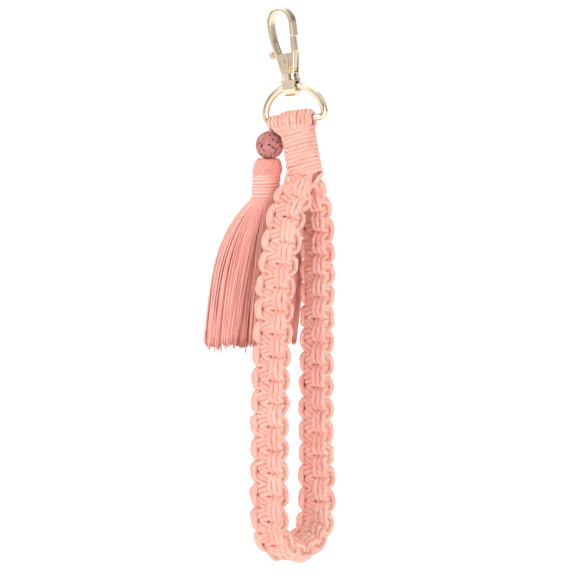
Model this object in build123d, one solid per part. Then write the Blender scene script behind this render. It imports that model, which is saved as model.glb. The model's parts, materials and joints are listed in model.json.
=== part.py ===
from build123d import *
import math
import os

# Wristlet keychain: a lobster swivel clasp, a D-ring, a square-knot wrist strap,
# and a tassel that hangs under a round bead.  All sizes in millimetres.
# Origin: the inside top of the hook, where it hangs from a hook or a belt loop.
# X runs along the straight bar of the D-ring, Y from front to back, Z up.

os.makedirs("parts", exist_ok=True)

# ---------------------------------------------------------------- driving sizes
LEAN = 8.5                     # the metal parts and the neck lean this far from upright, degrees

HOOK_CENTRE_X = -0.7           # hook loop, measured in the clasp's own plane
HOOK_SHOULDER_Z = -5.8         # height where the hook loop is widest
HOOK_HALF_WIDTH = 6.0          # to the outside
HOOK_BAND = 1.7                # thickness of the hook's band in its own plane
HOOK_DEPTH = 4.8               # depth of the band, front to back
HOOK_TIP_Z = -10.9             # where the hook's nose meets the gate
EDGE_ROUND = 0.5

HOUSING_TOP_Z = -18.0
HOUSING_FOOT_Z = -27.2
HOUSING_TOP_LEFT = -4.9
HOUSING_TOP_RIGHT = 4.6
HOUSING_FOOT_LEFT = -2.9
HOUSING_FOOT_RIGHT = 3.2
HOUSING_DEPTH = 5.2
CAVITY_DEPTH = 3.5
CAVITY_FLOOR_Z = -26.3
SPINE_WALL = 1.5
SLOT_WIDTH = 2.1
SLOT_TOP_Z = -13.1
SLOT_FOOT_Z = -23.6
SLOT_REACH = -0.9              # the slot is cut from outside to this X
COLLAR_R = 3.7
COLLAR_H = 1.2
GROOVE = 0.35                  # groove between the housing and the collar

MEDALLION_X = -1.5             # plain oval on each plate
MEDALLION_Z = -21.6
MEDALLION_HALF = (1.45, 2.1)
MEDALLION_H = 0.3
RIB_PLACES = ((1.3, 3.0), (2.2, 5.0), (3.1, 7.0))   # X and lean in degrees
RIB_SIZE = (0.35, 0.44, 7.0)
RIB_Z = -21.6

PIN_X = 2.0                    # gate pin, through the foot of the housing
PIN_Z = -25.1
PIN_R = 0.6
PIN_HEAD_R = 1.1               # flat rivet heads on both plates
PIN_HEAD_H = 0.35
PIN_CLEARANCE = 0.04
KNUCKLE_R = 1.15
LEVER_DEPTH = 2.8              # the gate arm, front to back
GATE_TIP_GAP = 0.2             # air between the gate and the hook's nose
GATE_TIP_X = (3.05, 4.75)      # inside and outside of the gate arm at its tip
TRIGGER_DEPTH = 1.7            # the arm that passes through the spine
TRIGGER_REACH = -6.6           # the trigger arm ends here, outside the spine
THUMB_X = -7.25                # thumb piece on the trigger arm
THUMB_Z = -18.1
THUMB_SIZE = (1.7, 2.9, 3.3)
THUMB_ROUND = 0.7
GATE_TRAVEL = 17.0             # degrees, gate opening inwards

SPRING_WIRE_R = 0.16
SPRING_R = 0.55
SPRING_PITCH = 0.62
SPRING_TURNS = 5
SPRING_X = -0.55

POST_R = 0.95                  # rivet that joins the clasp and the swivel eye
POST_HEAD_R = 1.5
POST_HEAD_H = 0.6
EYE_GAP = 0.25                 # air between collar and eye
EYE_DISC_R = 3.9
EYE_DISC_H = 0.9
EYE_WIDTH = 6.0                # along the ring wire
EYE_FOOT_WIDTH = 3.8           # narrower under the wire
EYE_DEPTH = 6.4
EYE_HOLE_R = 1.95
EYE_WALL = 1.3                 # metal over the hole
EYE_FLOOR = 2.5                # metal under the hole

RING_WIRE_R = 1.5
RING_INSIDE = 25.0             # inside length of the bar
RING_CORNER = 2.2              # corner radius of the wire's centre line
RING_HEIGHT = 14.6             # centre line of the bar to centre line of the arch

CORD_D = 1.9                   # one strand of the cotton cord
HITCH_TURNS = 11               # turns of cord side by side on the bar
HITCH_PITCH = 1.76
HITCH_MIDDLE = -1.1            # middle of the row of turns, along the bar
HITCH_HOLE_R = 1.6
HITCH_TAIL = 4.4               # the turns reach this far under the bar's centre line
HITCH_FIRST_TAIL = 2.9         # shorter beside the bead
HITCH_TAIL_STEP = 0.8
HITCH_R_ENDS = 3.1             # outer radius of a turn at the ends of the row
HITCH_R_MIDDLE = 3.75          # and in the middle, where cords double up

NECK_WIDTH = 15.6              # wrapped neck, outside
NECK_THICK = 9.2
NECK_TURNS = 11
NECK_TURN_PITCH = 1.86
NECK_TOP = -4.5                # under the bar's centre line, along the leaning axis
NECK_GAP = 0.03

KNOTS = 34
KNOT_WIDTH = 17.6
KNOT_THICK = 9.6
KNOT_CORNER = 4.0
KNOT_GAP = 0.12
STRAP_START = 1.2              # bare cord between the neck and the first knot
CORE_R = 2.3                   # bundle of filler cords inside the knots
CORE_GAP = 0.05
BEND_R = 15.4                  # bend of the strap at the bottom of the loop
FORK_GAP = 0.15                # half the air between the two limbs under the neck
FACE_TURN_NEAR = -12.0         # which way the knots' width points, degrees from X
FACE_TURN_FAR = -27.0

BEAD_R = 6.0
BEAD_BORE_R = 1.1
TASSEL_CORD_R = 0.95
TASSEL_LOOP_R = 3.1
TASSEL_LOOP_WIDTH = 1.5
TASSEL_LOOP_HOLE_R = 1.9
TASSEL_LOOP_X = -11.65         # along the bar, from its middle
HEAD_R = 6.2
HEAD_LENGTH = 7.6
WRAP_R = 6.1
WRAP_TURNS = 6
WRAP_PITCH = 1.4
WRAP_ROUND = 0.55
SKIRT_TURN = 55.0              # the skirt fans out along this direction, degrees from X
SKIRT_WIDTH_TOP = 5.6
SKIRT_HALF_MIDDLE = (16.0, 6.6)
SKIRT_HALF_FOOT = (23.0, 6.2)

# ---------------------------------------------------------------- places
lean_down = Vector(math.sin(math.radians(LEAN)), 0, -math.cos(math.radians(LEAN)))
lean_along = Vector(math.cos(math.radians(LEAN)), 0, math.sin(math.radians(LEAN)))
clasp_frame = Location((0, 0, 0), (0, -LEAN, 0))

collar_foot_z = HOUSING_FOOT_Z - COLLAR_H
eye_top_z = collar_foot_z - EYE_GAP
eye_hole_z = eye_top_z - EYE_WALL - EYE_HOLE_R
eye_foot_z = eye_hole_z - EYE_HOLE_R - EYE_FLOOR

bar_z = eye_hole_z - RING_HEIGHT
bar_centre = lean_down * -bar_z
ring_frame = Location(tuple(bar_centre), (0, -LEAN, 0))
neck_foot = NECK_TOP - NECK_TURNS * NECK_TURN_PITCH
neck_exit = bar_centre + lean_down * -neck_foot

# Route of the strap's core from the neck round the loop and back to the neck.
# Offsets from the middle of the neck's lower end.
STRAP_ROUTE = [
    (-0.3, -2.6, -2.2),
    (-3.6, -8.6, -13.6),
    (-6.0, -13.8, -41.0),
    (-8.0, -15.8, -94.0),
    (-7.9, -15.9, -158.2),
    (-1.9, 15.9, -158.2),
    (-2.2, 15.8, -94.0),
    (-0.4, 13.9, -41.0),
    (1.6, 8.2, -13.6),
    (0.5, 2.6, -2.2),
]


def save(shape, name):
    """Write one node, a solid or a group of solids, to its own file."""
    if isinstance(shape, (list, tuple)):
        shape = Compound(label=name, children=list(shape))
    shape.label = name
    export_step(shape, f"parts/{name}.step")
    print(f"{name}: {shape.volume:.2f} mm3")


def plate(face, depth):
    """A face drawn in X and Z, given its depth evenly to the front and the back."""
    return extrude(face, amount=depth / 2, both=True)


def outline(*points):
    """A closed face in the XZ plane from corner points."""
    return make_face(Polyline(*[(x, 0, z) for x, z in points], close=True))


def xz(x, z):
    return Vector(x, 0, z)


def cylinder_y(radius, length, x, z):
    """A round bar along Y."""
    return Pos(x, 0, z) * Rot(90, 0, 0) * Cylinder(radius, length)


def cylinder_z(radius, low, high):
    return Pos(0, 0, (low + high) / 2) * Cylinder(radius, high - low)


# ---------------------------------------------------------------- clasp
def hook_outline(inset):
    """Half-ellipse top and curving spine of the hook, moved inwards by inset."""
    half_width = HOOK_HALF_WIDTH - inset
    rise = HOOK_BAND - HOOK_SHOULDER_Z - inset
    left = HOOK_CENTRE_X - half_width
    right = HOOK_CENTRE_X + half_width
    top_plane = Plane(origin=(HOOK_CENTRE_X, 0, HOOK_SHOULDER_Z), x_dir=(1, 0, 0), z_dir=(0, -1, 0))
    top = top_plane * EllipticalCenterArc((0, 0), half_width, rise, start_angle=0, arc_size=180)
    spine = TangentArc(
        xz(left, HOOK_SHOULDER_Z),
        xz(HOUSING_TOP_LEFT + inset, HOUSING_TOP_Z),
        tangent=(0, 0, -1),
    )
    nose = Line(xz(right, HOOK_SHOULDER_Z), xz(right - 0.1, HOOK_TIP_Z))
    return nose, top, spine


def hook_band():
    outer_nose, outer_top, outer_spine = hook_outline(0)
    inner_nose, inner_top, inner_spine = hook_outline(HOOK_BAND)
    foot = Line(outer_spine @ 1, inner_spine @ 1)
    tip = Line(outer_nose @ 1, inner_nose @ 1)
    edges = [outer_nose, outer_top, outer_spine, foot, inner_spine, inner_top, inner_nose, tip]
    face = make_face(Wire([e for part in edges for e in part.edges()]))
    band = plate(face, HOOK_DEPTH)
    long_edges = [e for e in band.edges() if abs(abs(e.center().Y) - HOOK_DEPTH / 2) < 0.01]
    return fillet(long_edges, EDGE_ROUND)


def housing_block():
    block = plate(
        outline(
            (HOUSING_TOP_LEFT, HOUSING_TOP_Z),
            (HOUSING_FOOT_LEFT, HOUSING_FOOT_Z),
            (HOUSING_FOOT_RIGHT, HOUSING_FOOT_Z),
            (HOUSING_TOP_RIGHT, HOUSING_TOP_Z),
        ),
        HOUSING_DEPTH,
    )
    upright = [e for e in block.edges() if abs(e.center().Z - (HOUSING_TOP_Z + HOUSING_FOOT_Z) / 2) < 1]
    return fillet(upright, 0.7)


def front_trim(side):
    """Oval medallion and upright ribs on the front (side -1) or back (side 1) plate."""
    face_y = side * HOUSING_DEPTH / 2
    half_x, half_z = MEDALLION_HALF
    rim = 0.35
    plane = Plane(origin=(MEDALLION_X, face_y, MEDALLION_Z), x_dir=(1, 0, 0), z_dir=(0, side, 0))
    medallion = extrude(plane * Ellipse(half_x, half_z), amount=MEDALLION_H)
    dish_plane = plane.offset(MEDALLION_H - 0.1)
    dish = extrude(dish_plane * Ellipse(half_x - rim, half_z - rim), amount=MEDALLION_H)
    ribs = [Pos(x, face_y, RIB_Z) * Rot(0, turn, 0) * Box(*RIB_SIZE) for x, turn in RIB_PLACES]
    return medallion - dish, ribs


def clasp_body():
    body = hook_band() + housing_block() + cylinder_z(COLLAR_R, collar_foot_z, HOUSING_FOOT_Z + 0.4)
    groove_ring = cylinder_z(COLLAR_R + 1, HOUSING_FOOT_Z - GROOVE, HOUSING_FOOT_Z)
    body -= groove_ring - cylinder_z(COLLAR_R - GROOVE, HOUSING_FOOT_Z - 1, HOUSING_FOOT_Z + 1)
    for side in (-1, 1):
        medallion, ribs = front_trim(side)
        body += medallion
        for rib in ribs:
            body += rib
    cavity = plate(
        outline(
            (HOUSING_TOP_LEFT + SPINE_WALL, HOUSING_TOP_Z + 0.01),
            (HOUSING_FOOT_LEFT + SPINE_WALL, CAVITY_FLOOR_Z),
            (HOUSING_TOP_RIGHT + 2, CAVITY_FLOOR_Z),
            (HOUSING_TOP_RIGHT + 2, HOUSING_TOP_Z + 0.01),
        ),
        CAVITY_DEPTH,
    )
    slot_outside = HOUSING_TOP_LEFT - 4
    slot = Box(SLOT_REACH - slot_outside, SLOT_WIDTH, SLOT_TOP_Z - SLOT_FOOT_Z)
    slot = Pos((SLOT_REACH + slot_outside) / 2, 0, (SLOT_TOP_Z + SLOT_FOOT_Z) / 2) * slot
    body -= cavity
    body -= slot
    body -= cylinder_y(PIN_R, HOUSING_DEPTH + 2, PIN_X, PIN_Z)
    body -= cylinder_z(POST_R + PIN_CLEARANCE, collar_foot_z - 1, CAVITY_FLOOR_Z + 1)
    head_seat = CAVITY_FLOOR_Z - POST_HEAD_H
    body -= cylinder_z(POST_HEAD_R + PIN_CLEARANCE, head_seat, CAVITY_FLOOR_Z + 0.2)
    return body


def gate_lever():
    """One lever: gate arm up to the hook's nose, knuckle on the pin, trigger arm through the spine."""
    inner_x, outer_x = GATE_TIP_X
    tip_z = HOOK_TIP_Z - GATE_TIP_GAP
    gate = plate(
        outline(
            (inner_x, tip_z),
            (outer_x, tip_z),
            (outer_x, HOUSING_TOP_Z + 0.8),
            (PIN_X + KNUCKLE_R, PIN_Z + 0.3),
            (PIN_X - KNUCKLE_R + 0.1, PIN_Z + 0.5),
            (inner_x - 0.3, HOUSING_TOP_Z - 0.2),
        ),
        LEVER_DEPTH,
    )
    knuckle = cylinder_y(KNUCKLE_R, LEVER_DEPTH, PIN_X, PIN_Z)
    trigger = plate(
        outline(
            (PIN_X - 0.2, PIN_Z + 1.0),
            (-3.0, THUMB_Z - 2.0),
            (TRIGGER_REACH, THUMB_Z - 0.8),
            (TRIGGER_REACH, THUMB_Z + 1.0),
            (-2.4, THUMB_Z + 0.2),
            (PIN_X + 0.6, PIN_Z + 1.9),
        ),
        TRIGGER_DEPTH,
    )
    thumb = Pos(THUMB_X, 0, THUMB_Z) * Box(*THUMB_SIZE)
    thumb = fillet(thumb.edges(), THUMB_ROUND)
    lever = gate + knuckle + trigger + thumb
    return lever - cylinder_y(PIN_R + PIN_CLEARANCE, LEVER_DEPTH + 2, PIN_X, PIN_Z)


def gate_pin():
    """Hinge pin of the gate, with a flat rivet head outside each plate."""
    half = HOUSING_DEPTH / 2
    shank = cylinder_y(PIN_R - 0.005, HOUSING_DEPTH, PIN_X, PIN_Z)
    heads = [
        Pos(0, side * (half + PIN_HEAD_H / 2), 0) * cylinder_y(PIN_HEAD_R, PIN_HEAD_H, PIN_X, PIN_Z)
        for side in (-1, 1)
    ]
    pin = shank + heads[0] + heads[1]
    rims = [e for e in pin.edges() if abs(abs(e.center().Y) - half - PIN_HEAD_H) < 0.01]
    return fillet(rims, PIN_HEAD_H * 0.6)


def gate_spring():
    """Compression coil between the housing's floor and the trigger arm."""
    height = SPRING_PITCH * SPRING_TURNS
    foot = CAVITY_FLOOR_Z + SPRING_WIRE_R + 0.05
    path = Helix(pitch=SPRING_PITCH, height=height, radius=SPRING_R)
    section = Plane(origin=path @ 0, z_dir=path % 0) * Circle(SPRING_WIRE_R)
    return Pos(SPRING_X, 0, foot) * sweep(section, path=path)


def swivel_post():
    """Rivet: head in the housing's floor, shank through the collar into the eye."""
    head = cylinder_z(POST_HEAD_R, CAVITY_FLOOR_Z - POST_HEAD_H + 0.05, CAVITY_FLOOR_Z)
    shank = cylinder_z(POST_R, eye_top_z - EYE_WALL + 0.3, CAVITY_FLOOR_Z - 0.1)
    return head + shank


def swivel_eye():
    """Stout loop with a round top flange: the ring's wire passes through it along X."""
    round_z = eye_foot_z + EYE_DEPTH / 2
    plane = Plane(origin=(-EYE_WIDTH / 2, 0, 0), x_dir=(0, 1, 0), z_dir=(1, 0, 0))
    upper_h = eye_top_z - 0.4 - round_z
    upper = Pos(0, round_z + upper_h / 2) * Rectangle(EYE_DEPTH, upper_h)
    loop = extrude(plane * (Pos(0, round_z) * Circle(EYE_DEPTH / 2) + upper), amount=EYE_WIDTH)
    loop = fillet([e for e in loop.edges() if abs(abs(e.center().X) - EYE_WIDTH / 2) < 0.01], 0.45)
    wide, narrow = EYE_WIDTH / 2 + 0.1, EYE_FOOT_WIDTH / 2
    taper = outline(
        (-wide, eye_top_z),
        (-wide, eye_hole_z - EYE_HOLE_R - 0.3),
        (-narrow, eye_foot_z),
        (narrow, eye_foot_z),
        (wide, eye_hole_z - EYE_HOLE_R - 0.3),
        (wide, eye_top_z),
    )
    loop = loop & plate(taper, EYE_DEPTH + 1)
    eye = loop + cylinder_z(EYE_DISC_R, eye_top_z - EYE_DISC_H, eye_top_z)
    eye -= Pos(0, 0, eye_hole_z) * Rot(0, 90, 0) * Cylinder(EYE_HOLE_R, EYE_WIDTH + 4)
    eye -= cylinder_z(POST_R, eye_top_z - EYE_WALL + 0.3, eye_top_z + 1)
    return eye


# ---------------------------------------------------------------- D-ring
def d_ring():
    """Round wire bent to a D: straight bar, small corners, flattened arch."""
    half = RING_INSIDE / 2 + RING_WIRE_R
    straight = half - RING_CORNER
    rise = RING_HEIGHT - RING_CORNER
    bar = Line((-straight, 0, 0), (straight, 0, 0))
    right = TangentArc(xz(straight, 0), xz(half, RING_CORNER), tangent=(1, 0, 0))
    arch_plane = Plane(origin=(0, 0, RING_CORNER), x_dir=(1, 0, 0), z_dir=(0, -1, 0))
    arch = arch_plane * EllipticalCenterArc((0, 0), half, rise, start_angle=0, arc_size=180)
    left = TangentArc(xz(-half, RING_CORNER), xz(-straight, 0), tangent=(0, 0, -1))
    path = Wire([e for part in (bar, right, arch, left) for e in part.edges()])
    section = Plane(origin=(0, 0, 0), z_dir=(1, 0, 0)) * Circle(RING_WIRE_R)
    return sweep(section, path=path)


# ---------------------------------------------------------------- cords on the bar, and the neck
def hitch_turn(x, outer_r, tail):
    """One turn of cord over the bar, with both legs running down towards the neck."""
    thick = HITCH_PITCH - 0.04
    plane = Plane(origin=(x - thick / 2, 0, 0), x_dir=(0, 1, 0), z_dir=(1, 0, 0))
    leg_half = NECK_THICK / 2 - CORD_D / 2
    legs = make_face(
        Polyline((-outer_r, 0), (outer_r, 0), (leg_half, -tail), (-leg_half, -tail), close=True)
    )
    profile = (Circle(outer_r) + legs) - Circle(HITCH_HOLE_R)
    return extrude(plane * profile, amount=thick)


def hitch_cords():
    turns = []
    for i in range(HITCH_TURNS):
        offset = (i - (HITCH_TURNS - 1) / 2) / ((HITCH_TURNS - 1) / 2)
        outer_r = HITCH_R_MIDDLE - (HITCH_R_MIDDLE - HITCH_R_ENDS) * offset**2
        x = HITCH_MIDDLE + (i - (HITCH_TURNS - 1) / 2) * HITCH_PITCH
        tail = min(HITCH_TAIL, HITCH_FIRST_TAIL + i * HITCH_TAIL_STEP)
        turns.append(ring_frame * hitch_turn(x, outer_r, tail))
    return turns


def oval(width, thick):
    """A flattened oval: a rounded rectangle with nearly round ends."""
    return RectangleRounded(width, thick, thick * 0.46)


def neck_wrap():
    turns = []
    inside = oval(NECK_WIDTH - 2 * CORD_D, NECK_THICK - 2 * CORD_D)
    for i in range(NECK_TURNS):
        low = NECK_TOP - (i + 1) * NECK_TURN_PITCH
        band = extrude(oval(NECK_WIDTH, NECK_THICK), amount=NECK_TURN_PITCH - 0.02)
        rims = band.edges().group_by(Axis.Z)[-1] + band.edges().group_by(Axis.Z)[0]
        band = fillet(rims, 0.8)
        band -= extrude(inside, amount=NECK_TURN_PITCH)
        turns.append(ring_frame * (Pos(0, 0, low) * band))
    return turns


def neck_core():
    inner = oval(NECK_WIDTH - 2 * CORD_D - NECK_GAP, NECK_THICK - 2 * CORD_D - NECK_GAP)
    core = extrude(inner, amount=NECK_TOP - neck_foot)
    return ring_frame * (Pos(0, 0, neck_foot) * core)


# ---------------------------------------------------------------- strap
def strap_path():
    """Core route as straight runs joined by tangent arcs."""
    points = [neck_exit + Vector(p) for p in STRAP_ROUTE]
    radii = []
    for before, here, after in zip(points, points[1:], points[2:]):
        turn = math.radians((here - before).get_angle(after - here))
        shorter = min((here - before).length, (after - here).length)
        widest = 0.45 * shorter / math.tan(turn / 2)
        radii.append(BEND_R if turn > 1 else widest)
    print("strap core arc radii:", [round(r, 1) for r in radii])
    return FilletPolyline(*points, radius=radii)


def tube(path, radius):
    section = Plane(origin=path @ 0, z_dir=path % 0) * Circle(radius)
    return sweep(section, path=path)


def face_turn(share):
    """Direction of the strap's width, from the near limb round to the far one."""
    blend = min(max((share - 0.52) / 0.2, 0), 1)
    return FACE_TURN_NEAR + (FACE_TURN_FAR - FACE_TURN_NEAR) * blend


def knot_plane(path, share):
    """Plane across the strap: x along the knot's width, z along the strap."""
    tangent = path % share
    turn = math.radians(face_turn(share))
    width = Vector(math.cos(turn), math.sin(turn), 0)
    width = (width - tangent * width.dot(tangent)).normalized()
    return Plane(origin=path @ share, x_dir=width, z_dir=tangent)


def fork_plane(side):
    """Upright plane that keeps the two limbs apart close under the neck."""
    first = Vector(STRAP_ROUTE[1])
    last = Vector(STRAP_ROUTE[-2])
    across = Vector(last.X - first.X, last.Y - first.Y, 0).normalized()
    middle = neck_exit + (first + last) * 0.5
    return Plane(origin=middle + across * side * FORK_GAP, z_dir=across * side)


def square_knot(path, index, length, bore):
    pitch = (length - 2 * STRAP_START) / KNOTS
    shares = [(STRAP_START + pitch * (index + k) + g) / length for k, g in ((0, KNOT_GAP), (1, -KNOT_GAP))]
    middle = knot_plane(path, sum(shares) / 2)
    block = extrude(middle * RectangleRounded(KNOT_WIDTH, KNOT_THICK, KNOT_CORNER), amount=pitch, both=True)
    block = split(block, bisect_by=knot_plane(path, shares[0]), keep=Keep.TOP)
    block = split(block, bisect_by=knot_plane(path, shares[1]), keep=Keep.BOTTOM)
    if index < 3:
        block = split(block, bisect_by=fork_plane(-1), keep=Keep.TOP)
    if index > KNOTS - 4:
        block = split(block, bisect_by=fork_plane(1), keep=Keep.TOP)
    return block - bore


# ---------------------------------------------------------------- bead and tassel
loop_point = bar_centre + lean_along * TASSEL_LOOP_X
tassel_way = Vector(-0.12, 0, -1).normalized()
bead_centre = loop_point + tassel_way * (TASSEL_LOOP_R + BEAD_R + 0.05)
head_top = bead_centre + tassel_way * (BEAD_R + 0.2)
wrap_top = head_top + Vector(-0.7, 0, -HEAD_LENGTH)
wrap_foot = wrap_top + Vector(-0.6, 0, -WRAP_TURNS * WRAP_PITCH)
skirt_middle = wrap_foot + Vector(-3.4, 1.6, -19.0)
skirt_foot = wrap_foot + Vector(-10.2, 4.4, -66.0)


def tassel_cord():
    """Loop over the bar's left end, and the stem that carries the bead down to the head."""
    plane = Plane(origin=(TASSEL_LOOP_X - TASSEL_LOOP_WIDTH / 2, 0, 0), x_dir=(0, 1, 0), z_dir=(1, 0, 0))
    ring = Circle(TASSEL_LOOP_R) - Circle(TASSEL_LOOP_HOLE_R)
    loop = ring_frame * extrude(plane * ring, amount=TASSEL_LOOP_WIDTH)
    start = loop_point + tassel_way * (TASSEL_LOOP_HOLE_R + 0.6)
    length = (head_top - start).length + 0.9
    stem = Plane(origin=start, z_dir=tassel_way) * Cylinder(
        TASSEL_CORD_R, length, align=(Align.CENTER, Align.CENTER, Align.MIN)
    )
    return loop + stem


def lava_bead():
    ball = Pos(*bead_centre) * Sphere(BEAD_R)
    return ball - Plane(origin=bead_centre, z_dir=tassel_way) * Cylinder(BEAD_BORE_R, 4 * BEAD_R)


def round_section(centre, radius):
    return Pos(*centre) * Circle(radius)


def tassel_head():
    """Threads folded over the cord and gathered, as a rounded cap."""
    levels = ((0.0, 2.4), (0.12, 4.2), (0.35, 5.6), (0.65, HEAD_R), (1.0, WRAP_R - 0.9))
    axis = wrap_top - head_top
    head = loft([round_section(head_top + axis * share, radius) for share, radius in levels])
    seat = Plane(origin=head_top, z_dir=tassel_way) * Cylinder(TASSEL_CORD_R + 0.02, 2.0)
    return head - seat


def tassel_wrap():
    turns = []
    step = (wrap_foot - wrap_top) * (1 / WRAP_TURNS)
    for i in range(WRAP_TURNS):
        low = wrap_top + step * (i + 1)
        ring = Cylinder(WRAP_R, WRAP_PITCH - 0.02, align=(Align.CENTER, Align.CENTER, Align.MIN))
        ring = fillet(ring.edges().filter_by(GeomType.CIRCLE), WRAP_ROUND)
        turns.append(Pos(*low) * ring)
    return turns


def skirt_section(centre, halves):
    return Pos(*centre) * Rot(0, 0, SKIRT_TURN) * Ellipse(*halves)


def tassel_skirt():
    sections = [
        skirt_section(wrap_foot + Vector(0, 0, -0.05), (SKIRT_WIDTH_TOP + 0.02, SKIRT_WIDTH_TOP)),
        skirt_section(skirt_middle, SKIRT_HALF_MIDDLE),
        skirt_section(skirt_foot, SKIRT_HALF_FOOT),
    ]
    return loft(sections)


# ---------------------------------------------------------------- write every node
save(clasp_frame * clasp_body(), "clasp_body")
save(clasp_frame * gate_lever(), "gate_lever")
save(clasp_frame * gate_pin(), "gate_pin")
save(clasp_frame * gate_spring(), "gate_spring")
save(clasp_frame * swivel_post(), "swivel_post")
save(clasp_frame * swivel_eye(), "swivel_eye")
save(ring_frame * d_ring(), "d_ring")
save(hitch_cords(), "hitch_cords")
save(neck_core(), "neck_core")
save(neck_wrap(), "neck_wrap")

core_path = strap_path()
core_length = core_path.length
strap_bore = tube(core_path, CORE_R + CORE_GAP)
save(tube(core_path, CORE_R), "strap_core")
for knot in range(KNOTS):
    save(square_knot(core_path, knot, core_length, strap_bore), f"square_knot_{knot + 1:02d}")
print(f"strap core length {core_length:.1f} mm")
print(f"section times length {math.pi * CORE_R**2 * core_length:.1f} mm3")

save(tassel_cord(), "tassel_cord")
save(lava_bead(), "lava_bead")
save(tassel_head(), "tassel_head")
save(tassel_wrap(), "tassel_wrap")
save(tassel_skirt(), "tassel_skirt")
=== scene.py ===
import json
import math

import bmesh
import bpy
import numpy as np
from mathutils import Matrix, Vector


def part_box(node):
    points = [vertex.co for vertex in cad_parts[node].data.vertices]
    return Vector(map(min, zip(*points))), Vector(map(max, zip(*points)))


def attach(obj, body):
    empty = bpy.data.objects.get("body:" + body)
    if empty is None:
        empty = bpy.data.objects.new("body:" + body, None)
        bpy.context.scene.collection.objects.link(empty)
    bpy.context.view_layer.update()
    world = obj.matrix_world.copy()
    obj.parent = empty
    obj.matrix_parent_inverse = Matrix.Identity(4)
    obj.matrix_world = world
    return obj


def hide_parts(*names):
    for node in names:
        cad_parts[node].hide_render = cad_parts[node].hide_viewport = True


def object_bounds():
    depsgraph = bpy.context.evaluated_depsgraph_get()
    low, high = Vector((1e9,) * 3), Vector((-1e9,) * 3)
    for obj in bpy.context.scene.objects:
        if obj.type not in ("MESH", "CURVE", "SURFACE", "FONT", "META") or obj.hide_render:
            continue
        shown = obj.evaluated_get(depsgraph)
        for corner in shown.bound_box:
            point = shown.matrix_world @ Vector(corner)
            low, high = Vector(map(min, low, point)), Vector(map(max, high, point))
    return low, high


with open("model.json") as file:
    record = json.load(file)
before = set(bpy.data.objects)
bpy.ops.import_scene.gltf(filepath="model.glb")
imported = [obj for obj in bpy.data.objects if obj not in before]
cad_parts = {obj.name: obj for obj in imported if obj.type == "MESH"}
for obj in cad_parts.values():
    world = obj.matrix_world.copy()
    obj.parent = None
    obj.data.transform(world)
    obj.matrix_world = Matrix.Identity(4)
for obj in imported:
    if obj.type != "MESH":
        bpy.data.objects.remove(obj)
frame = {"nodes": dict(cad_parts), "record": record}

bl_info = {
    "name": "Wristlet Keychain",
    "version": (1, 0, 0),
    "blender": (4, 5, 0),
    "location": "3D View > Sidebar > Wristlet",
    "description": "Builds the cords, knots, bead, tassel and metal finishes of a wristlet keychain",
    "category": "Object",
}

MM = 0.001
CAD_LOW, CAD_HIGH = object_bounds()
JOINTS = {joint["name"]: joint for joint in frame["record"]["behaviour"]["joints"]}
KNOT_NODES = sorted(name for name in frame["nodes"] if name.startswith("square_knot_"))
SPRING_STEEL = (0.55, 0.55, 0.57)


# ---------- settings
class WristletCordSettings(bpy.types.PropertyGroup):
    """Sizes and colours of the cotton cord."""

    strand_radius: bpy.props.FloatProperty(
        name="Strand radius", description="Radius of one soft strand in the knots",
        default=1.08 * MM, unit="LENGTH")
    wrap_radius: bpy.props.FloatProperty(
        name="Wrap radius", description="Radius of the cord on the bar and round the neck",
        default=0.95 * MM, unit="LENGTH")
    strands: bpy.props.IntProperty(
        name="Strands", description="Strands side by side in each working bundle", default=3, min=2, max=4)
    # The cord's colour runs from light to deep: the light end is painted highlight on the raised plies and
    # fibres, the deep end is painted shade in the creases between them and deep inside the knots.
    light: bpy.props.FloatVectorProperty(
        name="Light cotton", description="Colour of the raised fibres",
        default=(0.97, 0.62, 0.52), size=3, subtype="COLOR")
    deep: bpy.props.FloatVectorProperty(
        name="Deep cotton", description="Colour in the creases",
        default=(1.0, 0.32, 0.25), size=3, subtype="COLOR")


class WristletTasselSettings(bpy.types.PropertyGroup):
    """Sizes and colours of the tassel and the bead."""

    threads: bpy.props.IntProperty(
        name="Skirt threads", description="Loose threads in the skirt", default=760, min=50, max=2000)
    thread_radius: bpy.props.FloatProperty(
        name="Thread radius", description="Radius of one skirt thread", default=0.28 * MM, unit="LENGTH")
    # The thread's colour runs from light to deep: the light end is the thread in the light, the deep end is
    # painted shade between the threads and in the grooves of their plies.
    light: bpy.props.FloatVectorProperty(
        name="Light thread", description="Colour of a thread in the light",
        default=(1.0, 0.56, 0.49), size=3, subtype="COLOR")
    deep: bpy.props.FloatVectorProperty(
        name="Deep thread", description="Colour between the threads",
        default=(1.0, 0.33, 0.28), size=3, subtype="COLOR")
    bead_stone: bpy.props.FloatVectorProperty(
        name="Bead stone", description="Colour of the lava bead", default=(0.47, 0.19, 0.175),
        size=3, subtype="COLOR")
    # The pore colour is painted shade inside the pores and the drilled hole of the bead.
    bead_pore_shade: bpy.props.FloatVectorProperty(
        name="Bead pores", description="Colour inside the pores", default=(0.16, 0.035, 0.035),
        size=3, subtype="COLOR")


class WristletMetalSettings(bpy.types.PropertyGroup):
    """Colours of the plated metal."""

    gold: bpy.props.FloatVectorProperty(
        name="Pale gold", description="Plating of the clasp and the ring", default=(0.80, 0.66, 0.49),
        size=3, subtype="COLOR")
    warm: bpy.props.FloatVectorProperty(
        name="Warm gold", description="Plating of the pin and the rivet", default=(0.95, 0.62, 0.28),
        size=3, subtype="COLOR")
    roughness: bpy.props.FloatProperty(
        name="Polish", description="Roughness of the polished plating", default=0.16, min=0, max=1,
        subtype="FACTOR")


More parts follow.
